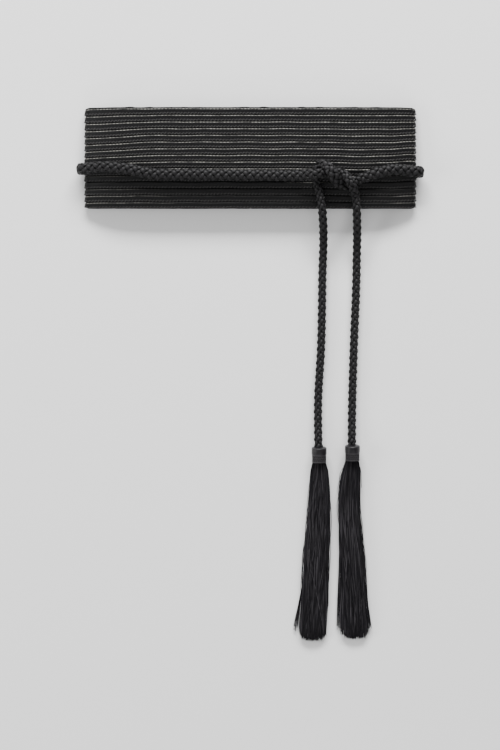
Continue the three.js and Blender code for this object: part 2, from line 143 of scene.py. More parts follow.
# The knot's strands: rope widths across and up from the knot's centre, 0 on the sash and 1 on the
# other strand, and how wide the rope is pressed there in millimetres
OVER_STRAND = [
    (-3.3, -0.03, 0.04, 12),
    (-2.85, 0.02, 0.16, 11.8),
    (-2.33, 0.06, 0.66, 11.4),
    (-1.86, 0.09, 1.1, 11),
    (-1.42, 0.13, 1.08, 10.8),
    (-0.99, 0.15, 0.5, 10.6),
    (-0.56, 0.19, 0.04, 10.6),
    (-0.17, 0.24, 0, 10.6),
    (0.25, 0.25, 0, 10.6),
    (0.64, 0.16, 0.2, 10.6),
    (0.95, -0.07, 0.75, 10.4),
    (1.18, -0.42, 1.12, 10.2),
    (1.38, -0.75, 1.16, 10),
    (1.6, -1.22, 0.84, 9.8),
    (1.76, -1.82, 0.2, 9.5),
]
LOOP_STRAND = [
    (3.4, 0.16, 0.06, 12),
    (2.75, -0.1, 0, 11.6),
    (2.2, -0.28, 0, 11),
    (1.74, -0.47, 0, 10.6),
    (1.27, -0.68, 0, 10.8),
    (0.87, -0.79, 0.04, 11.4),
    (0.56, -0.77, 0.22, 12),
    (0.26, -0.53, 0.66, 12.4),
    (-0.05, -0.12, 1.06, 12.4),
    (-0.35, 0.32, 1.16, 12),
    (-0.62, 0.69, 1.08, 11.4),
    (-0.93, 0.92, 0.78, 11),
    (-1.24, 0.92, 0.34, 10.4),
    (-1.47, 0.66, 0.02, 9.8),
    (-1.6, 0.22, 0, 9.6),
    (-1.61, -0.28, 0, 9.5),
    (-1.55, -0.78, 0, 9.5),
    (-1.38, -1.38, 0, 9.4),
]
# Along the front, as shares of the way from the middle to a fold, and how high up the sash
FRONT_LEFT_ROUTE = [
    (0.13, -19.4 * MM),
    (-0.07, -18.8 * MM),
    (-0.35, -18.3 * MM),
    (-0.58, -17.9 * MM),
    (-0.67, -15.8 * MM),
    (-0.75, -12.8 * MM),
    (-0.84, -10.8 * MM),
    (-0.91, -9.9 * MM),
    (-0.963, -10.5 * MM),
]
FRONT_RIGHT_ROUTE = [
    (0.97, -13.9 * MM),
    (0.922, -13.2 * MM),
    (0.87, -13.4 * MM),
    (0.815, -15.3 * MM),
]
BACK_ROUTE = [-0.97, -0.6, 0, 0.6, 0.97]


def smooth(share):
    share = np.clip(share, 0, 1)
    return share * share * (3 - 2 * share)


def back_rope_at(x):
    return BACK_ROPE_LEFT + (BACK_ROPE_RIGHT - BACK_ROPE_LEFT) * (x / SASH_WIDTH + 0.5)


def back_inside(x, y):
    beside = np.abs(y - back_rope_at(x)) - ROPE_WIDTH / 2
    return WALL + BACK_LIFT * (1 - smooth(beside / SLOPE_REACH))


def front_inside(x, y):
    outward = np.clip(np.abs(x) / FOLD_START, 0, 1)
    gap = MIDDLE_GAP + (FOLD_GAP - MIDDLE_GAP) * outward**FOLD_SQUARENESS
    ridge = back_rope_at(x)
    to_edge = np.where(y > ridge, SASH_TOP - ridge, SASH_TOP + ridge)
    down = np.minimum(np.abs(y - ridge) / to_edge, PAST_EDGE)
    return WALL + gap + RIDGE_RISE * (1 + RIDGE_ROUNDING - np.hypot(down, RIDGE_ROUNDING))


def on_front(x, y, thick, level=0):
    return (x, y, float(front_inside(x, y)) + WALL + ROPE_LIE + thick / 2 + level * KNOT_LEVEL)


def round_fold(side, steps=8):
    x = side * FOLD_START
    y = float(back_rope_at(x))
    out = FOLD_REACH + WALL + ROPE_SLACK + ROPE_THICK / 2
    top = on_front(x, y, ROPE_THICK)[2]
    bottom = ROPE_THICK / 2
    turns = [math.pi / 2 * (1 - 2 * step / steps) for step in range(steps + 1)]
    return [
        (x + side * out * math.cos(t), y, (top + bottom) / 2 + (top - bottom) / 2 * math.sin(t))
        for t in turns
    ]


# Each point of the route carries the rope's width and thickness there, and whether it lies round the sash
def knot_points(strand):
    points = []
    for across, up, level, width in strand:
        x = KNOT_X + across * ROPE_WIDTH
        y = KNOT_Y + up * ROPE_WIDTH
        points.append((*on_front(x, y, 2 * KNOT_CORE, level), width * MM, KNOT_THICK, 0))
    return points


def wrapped(points):
    return [(*point, ROPE_WIDTH, ROPE_THICK, 1) for point in points]


def hanging(points):
    return [(*point, TAIL_WIDTH, TAIL_THICK, 0) for point in points]


wrap_points = wrapped(
    [on_front(share * FOLD_START, y, ROPE_THICK) for share, y in FRONT_LEFT_ROUTE]
    + round_fold(-1)
    + [(s * FOLD_START, float(back_rope_at(s * FOLD_START)), ROPE_THICK / 2) for s in BACK_ROUTE]
    + round_fold(1)[::-1]
    + [on_front(share * FOLD_START, y, ROPE_THICK) for share, y in FRONT_RIGHT_ROUTE]
)
# The rope's ends run on into the tassels' heads
right_end = (RIGHT_TAIL[-1][0], RIGHT_TAIL[-1][1] - INTO_HEAD, RIGHT_TAIL[-1][2])
left_end = (LEFT_TAIL[-1][0], LEFT_TAIL[-1][1] - INTO_HEAD, LEFT_TAIL[-1][2])
route = np.array(
    hanging([right_end] + RIGHT_TAIL[::-1])
    + knot_points(OVER_STRAND[::-1])
    + wrap_points
    + knot_points(LOOP_STRAND)
    + hanging(LEFT_TAIL + [left_end])
)


def curve_through(points, per_segment=24):
    """Centripetal curve through rows of x, y, z and whatever else they carry."""
    before = 2 * points[0] - points[1]
    after = 2 * points[-1] - points[-2]
    knots = np.vstack([before, points, after])
    steps = np.sqrt(np.linalg.norm(np.diff(knots[:, :3], axis=0), axis=1))
    share = np.linspace(0, 1, per_segment, endpoint=False)[:, None]
    rows = []
    for i in range(1, len(knots) - 2):
        a, b, c, d = knots[i - 1 : i + 3]
        ab, bc, cd = steps[i - 1 : i + 2]
        leave = ((b - a) / ab - (c - a) / (ab + bc) + (c - b) / bc) * bc
        arrive = ((c - b) / bc - (d - b) / (bc + cd) + (d - c) / cd) * bc
        rows.append(
            (2 * share**3 - 3 * share**2 + 1) * b
            + (share**3 - 2 * share**2 + share) * leave
            + (3 * share**2 - 2 * share**3) * c
            + (share**3 - share**2) * arrive
        )
    return np.vstack(rows + [points[-1:]])


def along(points):
    return np.concatenate([[0], np.cumsum(np.linalg.norm(np.diff(points[:, :3], axis=0), axis=1))])


def unit(vectors):
    return vectors / np.linalg.norm(vectors, axis=1, keepdims=True)


ROPE_STEP = 0.85 * MM
fine_route = curve_through(route)
fine_length = along(fine_route)
rope_length = fine_length[-1]
ring_count = int(rope_length / ROPE_STEP)
ring_at = np.linspace(0, rope_length, ring_count + 1)
rope_line = np.stack(
    [np.interp(ring_at, fine_length, fine_route[:, i]) for i in range(fine_route.shape[1])], axis=1
)
centre = rope_line[:, :3]
forward = unit(np.gradient(centre, axis=0))
core_x = np.clip(centre[:, 0], -FOLD_START, FOLD_START)
core_y = back_rope_at(core_x)
core_z = (front_inside(core_x, core_y) + back_inside(core_x, core_y)) / 2
off_sash = unit(np.stack([centre[:, 0] - core_x, np.zeros(len(centre)), centre[:, 2] - core_z], axis=1))
round_sash = rope_line[:, 5:6] > 0.5
off_surface = np.where(round_sash, off_sash, np.array([0.0, 0.0, 1.0]))
outward = unit(off_surface - forward * np.sum(off_surface * forward, axis=1, keepdims=True))
sideways = np.cross(forward, outward)

# Braided rope
# Eight soft bundles of glossy rayon thread, four wound each way, each going over one and under the
# next. On the sash the braid is flattened, in the free ends it is round and a little tighter.
LEAD_ROUND_SASH = 33 * MM
LEAD_HANGING = 29 * MM
BUNDLE_THICK = 1.5 * MM
WEAVE_DEPTH = 0.9 * MM
CORE_INSET = 3.1 * MM
ROW_TURN = math.radians(22.5)
BUNDLE_SIDES = 8
BUNDLE_BOXY = 0.8
BUNDLE_INSET = 1.1 * MM
WAY_OFFSET = 0.1 * MM
WIDTH_CHANGE = 3 * MM
SMOOTH_ANGLE = math.radians(50)
# How much painted light each corner of a bundle gets, from one side over its top to the other; the inner
# corners get painted shade
CROWN_PAINTED_LIGHT = np.array([0.3, 1, 1, 0.3, 0, 0, 0, 0])
# A painted highlight brightens the braid where the loop turns over at the knot's upper left
LOOP_TOP = (81.5 * MM, -10 * MM)
LOOP_SHINE_REACH = 8 * MM


def linear(hex_colour):
    """An sRGB hex colour as linear red, green, blue and alpha."""
    parts = [int(hex_colour[i : i + 2], 16) / 255 for i in (1, 3, 5)]
    return (*[p / 12.92 if p <= 0.04045 else ((p + 0.055) / 1.055) ** 2.4 for p in parts], 1)


def add_node(tree, kind, inputs=None, **settings):
    """A node with its settings, and its inputs linked to a socket or set to a value."""
    node = tree.nodes.new(kind)
    for name, value in settings.items():
        setattr(node, name, value)
    for socket, value in (inputs or {}).items():
        if isinstance(value, bpy.types.NodeSocket):
            tree.links.new(value, node.inputs[socket])
        else:
            node.inputs[socket].default_value = value
    return node


def new_material(name):
    """A material with its Principled shader, its node tree and the shader."""
    material = bpy.data.materials.new(name)
    material.use_nodes = True
    return material, material.node_tree, material.node_tree.nodes["Principled BSDF"]


def ramp(tree, factor, stops):
    """A colour ramp from pairs of place and hex colour."""
    node = add_node(tree, "ShaderNodeValToRGB", {"Fac": factor})
    elements = node.color_ramp.elements
    while len(elements) < len(stops):
        elements.new(0.5)
    for element, (place, colour) in zip(elements, stops):
        element.position = place
        element.color = linear(colour)
    return node


def new_piece(name, points, faces, material, uvs=None):
    """A mesh piece at the origin, smooth shaded, from its points and faces."""
    mesh = bpy.data.meshes.new(name)
    mesh.from_pydata(points.tolist(), [], faces)
    if uvs is not None:
        corner_points = np.empty(len(mesh.loops), dtype=np.int32)
        mesh.loops.foreach_get("vertex_index", corner_points)
        layer = mesh.uv_layers.new(name="thread_mm")
        layer.data.foreach_set("uv", uvs[corner_points].astype(np.float32).ravel())
    mesh.materials.append(material)
    mesh.update()
    piece = bpy.data.objects.new(name, mesh)
    bpy.context.collection.objects.link(piece)
    bpy.ops.object.select_all(action="DESELECT")
    piece.select_set(True)
    bpy.context.view_layer.objects.active = piece
    bpy.ops.object.shade_smooth_by_angle(angle=SMOOTH_ANGLE)
    return piece


def set_share(piece, name, values):
    """Stores one value a point for the piece's material."""
    piece.data.attributes.new(name, "FLOAT", "POINT").data.foreach_set("value", values.astype(np.float32))


def tube(path, across, up, half_wide, half_thick, sides, boxy=1.0):
    """Points, faces and thread UVs in millimetres of a closed tube. A lower boxy gives squarer sides."""
    turns = 2 * math.pi * (np.arange(sides) + 0.5) / sides
    wide = np.sign(np.cos(turns)) * np.abs(np.cos(turns)) ** boxy
    tall = np.sign(np.sin(turns)) * np.abs(np.sin(turns)) ** boxy
    rings = (
        path[:, None]
        + across[:, None] * (wide[None, :, None] * half_wide[:, None, None])
        + up[:, None] * (tall[None, :, None] * half_thick[:, None, None])
    )
    count = len(path)
    ring, side = np.meshgrid(np.arange(count - 1), np.arange(sides), indexing="ij")
    a = ring * sides + side
    b = ring * sides + (side + 1) % sides
    quads = np.stack([a, b, b + sides, a + sides], axis=-1).reshape(-1, 4).tolist()
    caps = [list(range(sides))[::-1], [(count - 1) * sides + i for i in range(sides)]]
    around = np.abs(np.arange(sides) - sides / 2 + 0.5) / sides
    uvs = np.stack(
        [
            np.broadcast_to(around * 4 * half_wide[:, None] / MM, (count, sides)),
            np.broadcast_to(along(path)[:, None] / MM, (count, sides)),
        ],
        axis=-1,
    )
    return rings.reshape(-1, 3), quads + caps, uvs.reshape(-1, 2)


def joined(parts):
    """Several tubes as one set of points, faces and UVs."""
    points, faces, uvs = [], [], []
    start = 0
    for part_points, part_faces, part_uvs in parts:
        points.append(part_points)
        faces += [[corner + start for corner in face] for face in part_faces]
        uvs.append(part_uvs)
        start += len(part_points)
    return np.vstack(points), faces, np.vstack(uvs)


flattened = smooth((rope_line[:, 3] - TAIL_WIDTH) / WIDTH_CHANGE)
lead = LEAD_HANGING + (LEAD_ROUND_SASH - LEAD_HANGING) * flattened
row_turn = ROW_TURN * flattened
turned = np.concatenate([[0], np.cumsum(2 * math.pi * ROPE_STEP / lead[1:])])


def bundle(way, number):
    """One bundle of the braid over the whole rope: its line, its section's axes and half sizes."""
    angle = way * turned + number * math.pi / 2
    over = way * np.cos(4 * angle)
    angle = angle + row_turn
    sink = BUNDLE_THICK + WEAVE_DEPTH * (1 - over) - WAY_OFFSET * way
    wide = rope_line[:, 3] / 2 - sink
    thick = rope_line[:, 4] / 2 - sink
    line = (
        centre
        + sideways * (wide * np.sin(angle))[:, None]
        + outward * (thick * np.cos(angle))[:, None]
    )
    up = sideways * (np.sin(angle) / np.maximum(wide, MM))[:, None]
    up = unit(up + outward * (np.cos(angle) / np.maximum(thick, MM))[:, None])
    ahead = unit(np.gradient(line, axis=0))
    up = unit(up - ahead * np.sum(up * ahead, axis=1, keepdims=True))
    half_w = rope_line[:, 3] / 2 - BUNDLE_INSET
    half_t = rope_line[:, 4] / 2 - BUNDLE_INSET
    girth = math.pi * (3 * (half_w + half_t) - np.sqrt((3 * half_w + half_t) * (half_w + 3 * half_t)))
    slant = lead / np.hypot(lead, girth)
    half_wide = girth / 8 * slant * (0.87 + 0.08 * over)
    half_thick = BUNDLE_THICK * (0.96 + 0.1 * over)
    return line, np.cross(ahead, up), up, half_wide, half_thick, over


# Each bundle's threads lie along it with a slight twist, 0.45 mm apart. Light and shade are painted into a
# bundle's colour:
# painted light on its top where it rides over, and painted shade, nearly black, down between its
# neighbours.
rope_material, tree, shader = new_material("braided_rayon_thread")
shader.inputs["Roughness"].default_value = 0.5
shader.inputs["IOR"].default_value = 1.25
threads_at = add_node(tree, "ShaderNodeUVMap", uv_map="thread_mm")
lay = add_node(tree, "ShaderNodeMapping", {"Vector": threads_at.outputs[0], "Rotation": (0, 0, 0.12)})
threads = add_node(
    tree,
    "ShaderNodeTexWave",
    {"Vector": lay.outputs[0], "Scale": 0.7, "Distortion": 1.2, "Detail": 2.0, "Detail Scale": 1.5},
    bands_direction="X",
)
stretch = add_node(tree, "ShaderNodeMapping", {"Vector": threads_at.outputs[0], "Scale": (1.6, 0.12, 1.0)})
fibres = add_node(tree, "ShaderNodeTexNoise", {"Vector": stretch.outputs[0], "Scale": 1.0, "Detail": 3.0})
shade = ramp(tree, fibres.outputs["Fac"], [(0.3, "#1f1e1f"), (0.7, "#323133")])
# The attribute read here paints light on the bundles' tops, and painted shade, nearly black, where they dip
# under and on their inner sides
painted_crown_light = add_node(tree, "ShaderNodeAttribute", attribute_name="painted_crown_light")
tone = add_node(
    tree, "ShaderNodeMix", {0: painted_crown_light.outputs["Fac"], 7: shade.outputs["Color"]}, data_type="RGBA"
)
tone.inputs[6].default_value = linear("#030303")
tree.links.new(tone.outputs[2], shader.inputs["Base Color"])
height = add_node(
    tree,
    "ShaderNodeMath",
    {0: threads.outputs["Fac"], 1: fibres.outputs["Fac"]},
    operation="ADD",
)
bump = add_node(
    tree, "ShaderNodeBump", {"Height": height.outputs[0], "Strength": 0.2, "Distance": 0.2 * MM}
)
tree.links.new(bump.outputs[0], shader.inputs["Normal"])

# The rope is one length. Its two free ends are pieces of their own from the knot's exits on.
bundles = [bundle(way, number) for way in (1, -1) for number in range(4)]
right_exit = int(np.argmin(np.linalg.norm(centre - np.array(RIGHT_TAIL[0]), axis=1)))
left_exit = int(np.argmin(np.linalg.norm(centre - np.array(LEFT_TAIL[0]), axis=1)))


def rope_piece(name, first, last):
    strands, painted_light_shares = [], []
    part = slice(first, last + 1)
    # Painted highlight: the bundles are painted lighter near the top of the knot's loop
    off_loop = np.hypot(centre[part, 0] - LOOP_TOP[0], centre[part, 1] - LOOP_TOP[1])
    painted_shine = 0.6 + 0.4 * np.exp(-((off_loop / LOOP_SHINE_REACH) ** 2))
    for line, across, up, half_wide, half_thick, over in bundles:
        painted_light_shares.append((painted_shine * (0.5 + 0.5 * over[part]))[:, None] * CROWN_PAINTED_LIGHT)
        sizes = (half_wide[part], half_thick[part])
        strands.append(tube(line[part], across[part], up[part], *sizes, BUNDLE_SIDES, BUNDLE_BOXY))
    # The core gets no painted light, so it is painted nearly black: painted shade inside the braid
    core_wide = rope_line[part, 3] / 2 - CORE_INSET
    core_thick = np.maximum(rope_line[part, 4] / 2 - CORE_INSET, 0.5 * MM)
    strands.append(tube(centre[part], sideways[part], outward[part], core_wide, core_thick, BUNDLE_SIDES))
    painted_light_shares.append(np.zeros((last + 1 - first, BUNDLE_SIDES)))
    points, faces, uvs = joined(strands)
    piece = new_piece(name, points, faces, rope_material, uvs)
    set_share(piece, "painted_crown_light", np.concatenate(painted_light_shares).ravel())
    return piece


rope_round = rope_piece("rope_round_sash_and_knot", right_exit, left_exit)
right_rope = rope_piece("rope_free_end_right", 0, right_exit)
left_rope = rope_piece("rope_free_end_left", left_exit, ring_count)
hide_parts("rope_wrap", "rope_knot_over", "rope_knot_loop")
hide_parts("rope_tail_right")
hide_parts("rope_tail_left")
for piece in (rope_round, right_rope, left_rope):
    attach(piece, "root")

# Tassel heads
# A soft collar wound smooth with thread grips the rope's end, and a narrow woven band is bound below
# it over the tops of the tassel's threads. The collar's mouth is open where the rope goes in, and the
# whole head leans back a little, so that its mouth shows from above.
HEAD_LEAN = math.radians(11)
HEAD_SHIFT = 0.6 * MM
HEAD_SPREAD = 0.6 * MM
HEAD_RISE = 1.1 * MM
BAND_ROWS = 4
BAND_ROUND = 20
BAND_THREAD = 0.34 * MM
BAND_LEAN = HEAD_LEAN / 3
EDGE_THREAD = 0.42 * MM
EDGE_POINTS = 49
HEAD_OFF_FLOOR = 0.9 * MM
COLLAR_OVERLAP = 0.6 * MM
MOUTH_RIM = 0.5 * MM
MOUTH_DEPTH = 2.2 * MM
collar_material, tree, shader = new_material("wound_rayon_thread")
shader.inputs["Roughness"].default_value = 0.38
shader.inputs["IOR"].default_value = 1.34
place = add_node(tree, "ShaderNodeTexCoord")
turns_at = add_node(tree, "ShaderNodeMapping", {"Vector": place.outputs["Object"], "Scale": (60, 1000, 60)})
winding = add_node(
    tree,
    "ShaderNodeTexWave",
    {"Vector": turns_at.outputs[0], "Scale": 0.55, "Distortion": 0.6, "Detail": 1.0},
    bands_direction="Y",
)
speckle = add_node(tree, "ShaderNodeTexNoise", {"Vector": turns_at.outputs[0], "Scale": 0.8, "Detail": 3.0})
shade = ramp(tree, speckle.outputs["Fac"], [(0.3, "#121113"), (0.75, "#1d1b1e")])
tree.links.new(shade.outputs["Color"], shader.inputs["Base Color"])
bump = add_node(
    tree, "ShaderNodeBump", {"Height": winding.outputs["Fac"], "Strength": 0.3, "Distance": 0.2 * MM}
)
tree.links.new(bump.outputs[0], shader.inputs["Normal"])

band_material, tree, shader = new_material("woven_rayon_band")
shader.inputs["Roughness"].default_value = 0.4
shader.inputs["IOR"].default_value = 1.34
thread_at = add_node(tree, "ShaderNodeUVMap", uv_map="thread_mm")
wear = add_node(tree, "ShaderNodeTexNoise", {"Vector": thread_at.outputs[0], "Scale": 1.5, "Detail": 2.0})
shade = ramp(tree, wear.outputs["Fac"], [(0.3, "#222022"), (0.7, "#363437")])
tree.links.new(shade.outputs["Color"], shader.inputs["Base Color"])


def drum(name, middle, radius, length, lean, rounding, material):
    """A short drum lying along Y and leaning towards the camera, with rounded rims."""
    bpy.ops.object.select_all(action="DESELECT")
    bpy.ops.mesh.primitive_cylinder_add(
        vertices=48, radius=radius, depth=length, location=middle, rotation=(lean - math.pi / 2, 0, 0)
    )
    made = bpy.context.object
    made.name = name
    bpy.ops.object.transform_apply(location=True, rotation=True, scale=True)
    rims = made.modifiers.new("rims", "BEVEL")
    rims.width = rounding
    rims.segments = 5
    rims.limit_method = "ANGLE"
    rims.angle_limit = math.radians(60)
    bpy.ops.object.modifier_apply(modifier="rims")
    bpy.ops.object.shade_smooth_by_angle(angle=SMOOTH_ANGLE)
    made.data.materials.append(material)
    return made


collars = {}
bands = {}
for side in ("left", "right"):
    low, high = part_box(f"tassel_collar_{side}")
    radius = (high[0] - low[0]) / 2 + HEAD_SPREAD
    length = high[1] - low[1]
    head_x = (low[0] + high[0]) / 2 + HEAD_SHIFT
    head_z = radius + HEAD_OFF_FLOOR
    middle = (head_x, (low[1] + high[1]) / 2 + HEAD_RISE, head_z)
    size = (radius, length + COLLAR_OVERLAP, HEAD_LEAN, 1.5 * MM)
    collar = drum(f"collar_{side}", middle, *size, collar_material)
    # The mouth: the end face towards the rope is drawn in and sunk
    ends = sorted(collar.data.polygons, key=lambda face: face.center[1] * (len(face.vertices) > 4))
    for face in collar.data.polygons:
        face.select = face.index == ends[-1].index
    bpy.ops.object.mode_set(mode="EDIT")
    bpy.ops.mesh.select_mode(type="FACE")
    bpy.ops.mesh.inset(thickness=MOUTH_RIM)
    bpy.ops.mesh.extrude_region_move(TRANSFORM_OT_translate={"value": (0, -MOUTH_DEPTH, 0)})
    bpy.ops.object.mode_set(mode="OBJECT")
    collars[side] = collar
    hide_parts(f"tassel_collar_{side}")

    low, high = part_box(f"tassel_binding_{side}")
    radius = (high[0] - low[0]) / 2 + HEAD_SPREAD - 0.1 * MM
    length = high[1] - low[1]
    band_top, band_end = high[1] + HEAD_RISE, low[1] + HEAD_RISE
    middle = (head_x, (band_top + band_end) / 2, head_z)
    # The band's core is drawn with the rope's material but without its painted light, so it comes out
    # nearly black: painted shade between the woven threads
    painted_shade_core = (radius - 0.75 * MM, length, BAND_LEAN, 0.4 * MM, rope_material)
    band_core = drum(f"band_core_{side}", middle, *painted_shade_core)
    threads_made = []
    for row in range(BAND_ROWS):
        for leg in range(2 * BAND_ROUND):
            turn = np.array([leg, leg + 0.5, leg + 1]) * math.pi / BAND_ROUND
            rising = 1 if (leg + row) % 2 else -1
            reach = radius - np.array([0.55, 0.3, 0.55]) * MM
            down = (row + 0.5 + rising * np.array([-0.45, 0, 0.45])) / BAND_ROWS * length
            path = np.stack(
                [
                    head_x + reach * np.cos(turn),
                    band_top - down - math.tan(BAND_LEAN) * reach * np.sin(turn),
                    head_z + reach * np.sin(turn),
                ],
                axis=1,
            )
            up = np.stack([np.cos(turn), np.zeros(3), np.sin(turn)], axis=1)
            across = np.cross(unit(np.gradient(path, axis=0)), up)
            sizes = np.array([0.8, 1.1, 0.8]) * BAND_THREAD
            threads_made.append(tube(path, across, up, sizes, sizes, 6))
    for edge in (band_top - 0.1 * MM, band_end + 0.1 * MM):
        turn = np.linspace(0, 2 * math.pi, EDGE_POINTS)
        up = np.stack([np.cos(turn), np.zeros(EDGE_POINTS), np.sin(turn)], axis=1)
        path = np.array([head_x, edge, head_z]) + (radius - 0.3 * MM) * up
        path[:, 1] -= math.tan(BAND_LEAN) * radius * np.sin(turn)
        across = np.tile([0.0, 1.0, 0.0], (EDGE_POINTS, 1))
        sizes = np.full(EDGE_POINTS, EDGE_THREAD)
        threads_made.append(tube(path, across, up, sizes, sizes, 8))
    points, faces, uvs = joined(threads_made)
    bands[side] = new_piece(f"woven_band_{side}", points, faces, band_material, uvs)
    band_core.parent = bands[side]
    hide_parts(f"tassel_binding_{side}")
    for piece in (collars[side], bands[side]):
        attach(piece, "root")

for side, rope, tail, first, last in (
    ("right", right_rope, RIGHT_TAIL, right_exit, 0),
    ("left", left_rope, LEFT_TAIL, left_exit, ring_count),
):
    step = -4 if last < first else 4
    path = centre[first:last:step] if last else np.vstack([centre[first:0:step], centre[:1]])

# Tassel skirts
# Some nine hundred fine rayon threads hang from each head. They cling together in thin wisps that
# wind round the skirt and cross each other at a slant, lie flattened on the floor and end raggedly.
# A few stray threads bow out at the sides, and small locks stand off near the ends.
WISP_COUNT = 225
THREADS_A_WISP = 4
THREAD_RADIUS = 0.34 * MM
WISP_RADIUS = 0.6 * MM
THREAD_RINGS = 26
STRAY_COUNT = 18
STRAY_RADIUS = 0.29 * MM
HEAD_HALF_WIDTH = 6.5 * MM
THREAD_AT = np.linspace(0, 1, THREAD_RINGS)[None, :]
INTO_BAND = 2.4 * MM
LENGTH_ADDED = 3.8 * MM
WIND = 1.4
# Locks that stand off the skirt's edge: which way, share of the length where they leave and end, how
# far off they end in metres, and how many threads they have
SKIRT_LOCKS = {
    "left": [(-1, 0.68, 0.945, 0.0066, 10), (1, 0.55, 0.82, 0.0016, 3), (-1, 0.25, 0.7, 0.0013, 2)],
    "right": [(-1, 0.36, 0.955, 0.0044, 7), (1, 0.74, 0.95, 0.003, 7), (1, 0.02, 0.16, 0.002, 2)],
}

# Down each skirt: share of the length, left edge, right edge and thickness, in metres from the
# middle of the head
SKIRT_OUTLINES = {
    "left": [
        (0.0, -0.0072, 0.0072, 0.0124),
        (0.03, -0.009, 0.009, 0.013),
        (0.08, -0.0098, 0.0102, 0.013),
        (0.16, -0.0108, 0.0114, 0.013),
        (0.25, -0.0116, 0.0118, 0.0128),
        (0.33, -0.0124, 0.0118, 0.0125),
        (0.42, -0.014, 0.0114, 0.012),
        (0.51, -0.0164, 0.0108, 0.0116),
        (0.6, -0.0176, 0.0102, 0.0112),
        (0.7, -0.0182, 0.0096, 0.0106),
        (0.8, -0.0194, 0.0088, 0.0098),
        (0.9, -0.0212, 0.0082, 0.0088),
        (1.0, -0.0212, 0.0078, 0.0064),
    ],
    "right": [
        (0.0, -0.0072, 0.0072, 0.0124),
        (0.03, -0.0092, 0.0086, 0.013),
        (0.08, -0.0114, 0.009, 0.013),
        (0.16, -0.0136, 0.0084, 0.013),
        (0.25, -0.0146, 0.0084, 0.0128),
        (0.33, -0.0146, 0.0092, 0.0125),
        (0.42, -0.0142, 0.0106, 0.012),
        (0.51, -0.013, 0.0122, 0.0116),
        (0.6, -0.0128, 0.0138, 0.0112),
        (0.7, -0.0128, 0.015, 0.0106),
        (0.8, -0.0128, 0.0162, 0.0098),
        (0.9, -0.0126, 0.0176, 0.0088),
        (1.0, -0.0122, 0.0184, 0.0064),
    ],
}

# With more gloss than this, the skirts turn pale when they are seen low from the front
skirt_material, tree, shader = new_material("fine_rayon_threads")
shader.inputs["Roughness"].default_value = 0.5
shader.inputs["IOR"].default_value = 1.03
thread_at = add_node(tree, "ShaderNodeUVMap", uv_map="thread_mm")
tones_at = add_node(tree, "ShaderNodeMapping", {"Vector": thread_at.outputs[0], "Scale": (7.3, 0.02, 1)})
tones = add_node(tree, "ShaderNodeTexNoise", {"Vector": tones_at.outputs[0], "Scale": 1.0, "Detail": 1.0})
shade = ramp(tree, tones.outputs["Fac"], [(0.34, "#18171a"), (0.5, "#1f1e20"), (0.66, "#3c3a3d")])
tree.links.new(shade.outputs["Color"], shader.inputs["Base Color"])


def threads_of(paths, radius, tone, sides=4):
    """Points, faces and UVs of thin threads, from paths of threads by rings by xyz and their radii."""
    turns = 2 * math.pi * (np.arange(sides) + 0.5) / sides
    ring = np.stack([np.cos(turns), np.zeros(sides), np.sin(turns)], axis=1)
    points = paths[:, :, None, :] + ring[None, None] * radius[:, :, None, None]
    threads_made, rings, _ = paths.shape
    t, r, s = np.meshgrid(np.arange(threads_made), np.arange(rings - 1), np.arange(sides), indexing="ij")
    base = (t * rings + r) * sides
    a = base + s
    b = base + (s + 1) % sides
    quads = np.stack([a, a + sides, b + sides, b], axis=-1).reshape(-1, 4)
    starts = np.arange(threads_made)[:, None] * rings * sides
    first = starts + np.arange(sides)[None]
    last = starts + (rings - 1) * sides + np.arange(sides)[None, ::-1]
    own = np.broadcast_to(tone[:, None, None], (threads_made, rings, sides))
    down = np.broadcast_to(-paths[:, :, 1][:, :, None] / MM, (threads_made, rings, sides))
    uvs = np.stack([own, down], axis=-1).reshape(-1, 2)
    return points.reshape(-1, 3), np.vstack([quads, first, last]).tolist(), uvs


